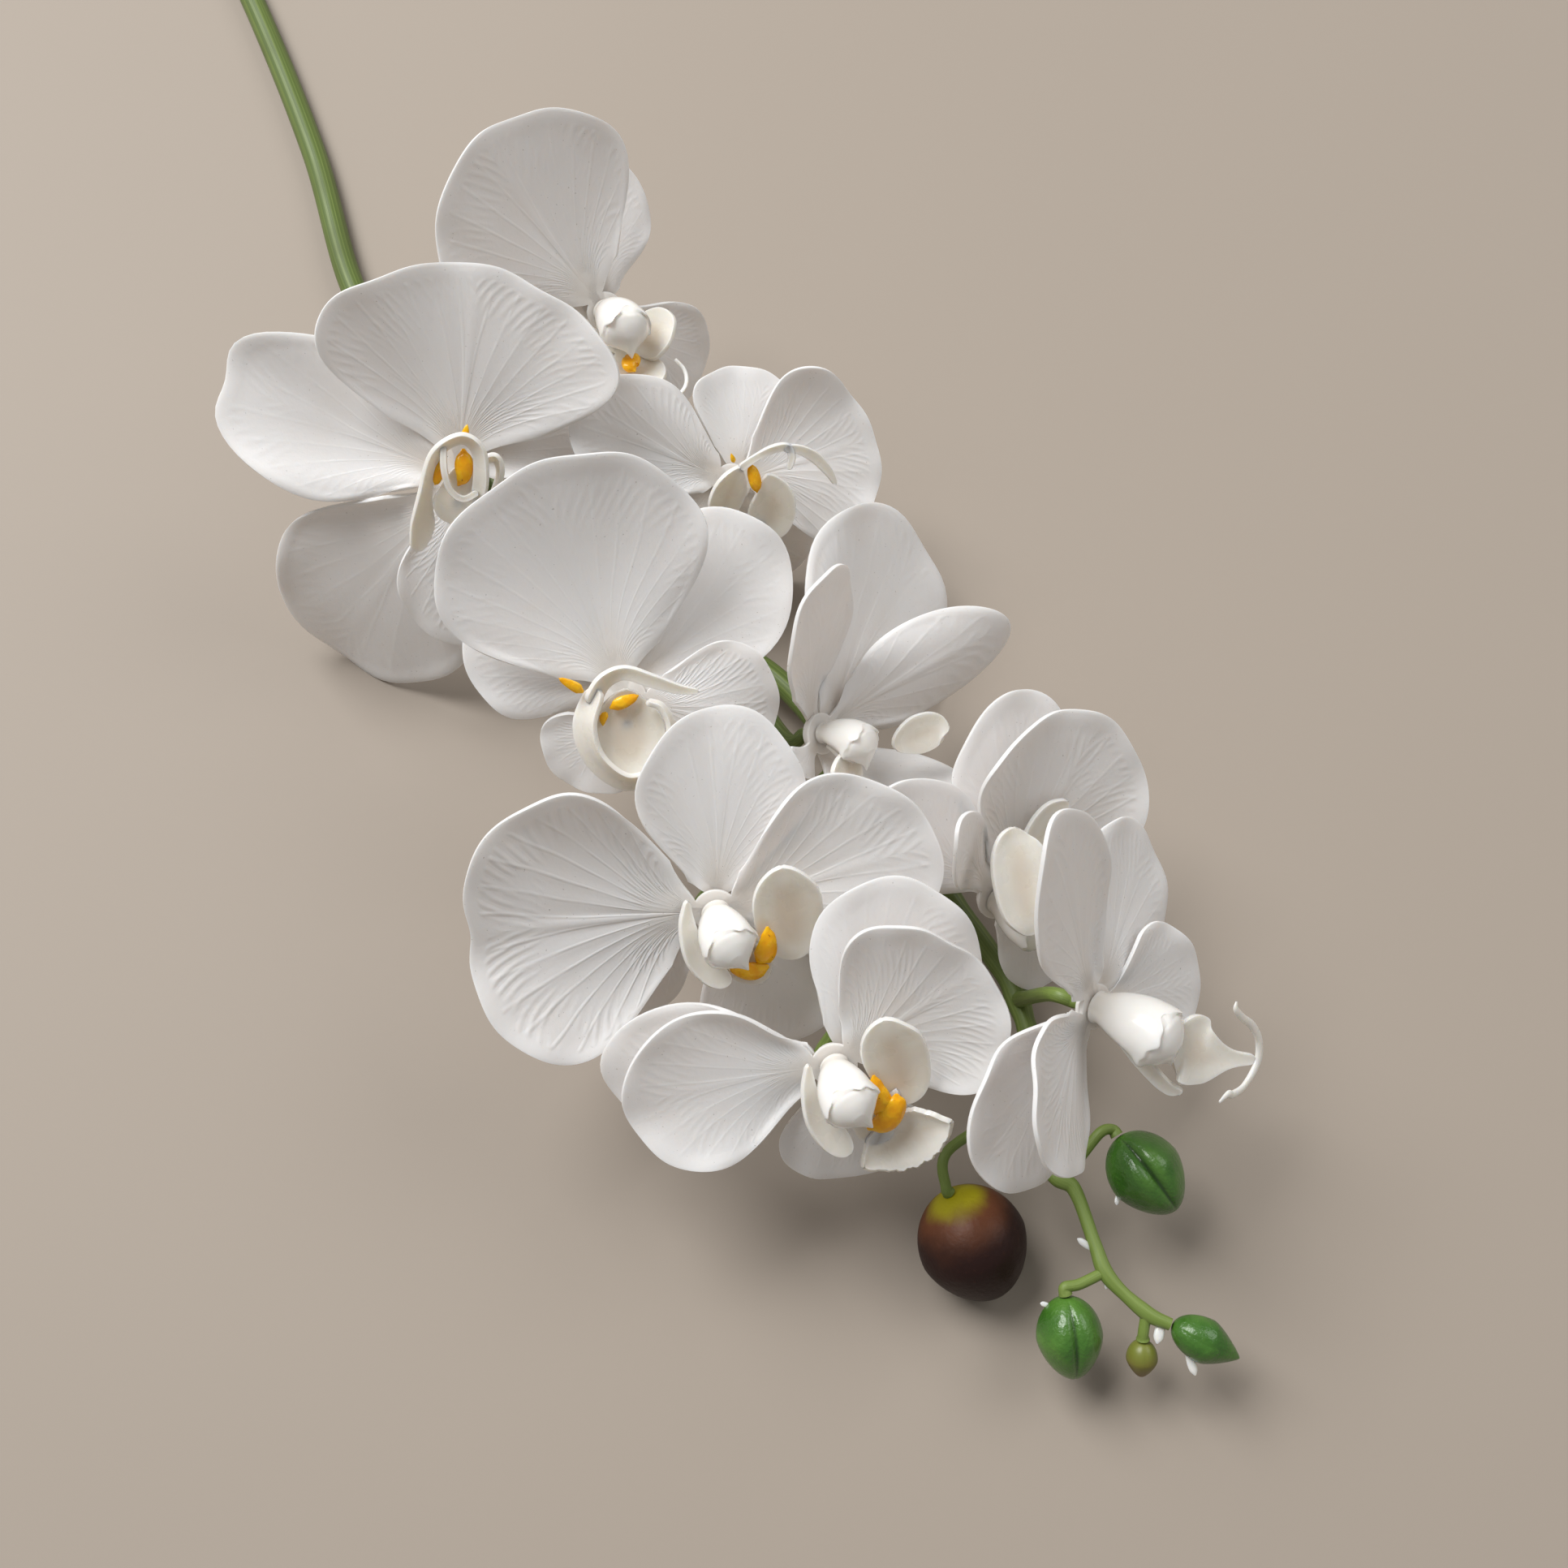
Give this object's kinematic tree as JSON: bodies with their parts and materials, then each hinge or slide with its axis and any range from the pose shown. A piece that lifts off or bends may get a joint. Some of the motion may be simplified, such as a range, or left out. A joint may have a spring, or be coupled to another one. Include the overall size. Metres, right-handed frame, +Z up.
{
  "type": "moth orchid spray",
  "caption": "Cut spray of white moth orchid lying on a table: an arching green stem with open two-layered blooms, cream lips with yellow crests, and closed buds at its tip.",
  "frame": {"origin": "centre of the box round the spray, on the surface that it lies on", "axes": "+X from the stem's cut end to its tip with the buds, +Z up from the surface it lies on, +Y across the spray, so that the blooms mostly face -Y and up"},
  "size_m": [0.5859, 0.1421, 0.0889],
  "materials": {
    "petal_white": "soft satin white with raised veins and a bright cut edge",
    "column_white": "smooth glossy white",
    "lip_cream": "satin cream, partly see-through at its edges",
    "callus_yellow": "orange-yellow, wet-looking",
    "stem_green": "satin green with fine lengthwise lines",
    "bud_green": "satin deep green, lighter along its seams",
    "bud_brown": "satin, from yellow-green at its base through orange-brown to near-black purple",
    "bud_olive": "satin olive green with a brown tip"
  },
  "bodies": {
    "root": {"bloom_1_petals": "petal_white", "bloom_1_sepals": "petal_white", "bloom_1_column": "column_white", "bloom_1_lip": "lip_cream", "bloom_1_callus": "callus_yellow", "bloom_2_petals": "petal_white", "bloom_2_sepals": "petal_white", "bloom_2_column": "column_white", "bloom_2_lip": "lip_cream", "bloom_2_callus": "callus_yellow", "bloom_3_petals": "petal_white", "bloom_3_sepals": "petal_white", "bloom_3_column": "column_white", "bloom_3_lip": "lip_cream", "bloom_3_callus": "callus_yellow", "bloom_4_petals": "petal_white", "bloom_4_sepals": "petal_white", "bloom_4_column": "column_white", "bloom_4_lip": "lip_cream", "bloom_4_callus": "callus_yellow", "bloom_5_petals": "petal_white", "bloom_5_sepals": "petal_white", "bloom_5_column": "column_white", "bloom_5_lip": "lip_cream", "bloom_5_callus": "callus_yellow", "bloom_6_petals": "petal_white", "bloom_6_sepals": "petal_white", "bloom_6_column": "column_white", "bloom_6_lip": "lip_cream", "bloom_6_callus": "callus_yellow", "bloom_7_petals": "petal_white", "bloom_7_sepals": "petal_white", "bloom_7_column": "column_white", "bloom_7_lip": "lip_cream", "bloom_7_callus": "callus_yellow", "bloom_8_petals": "petal_white", "bloom_8_sepals": "petal_white", "bloom_8_column": "column_white", "bloom_8_lip": "lip_cream", "bloom_8_callus": "callus_yellow", "bloom_9_petals": "petal_white", "bloom_9_sepals": "petal_white", "bloom_9_column": "column_white", "bloom_9_lip": "lip_cream", "bloom_9_callus": "callus_yellow", "stem": "stem_green", "bud_brown": "bud_brown", "bud_green_1": "bud_green", "bud_green_2": "bud_green", "bud_green_3": "bud_green", "bud_olive": "bud_olive"}
  },
  "joints": []
}
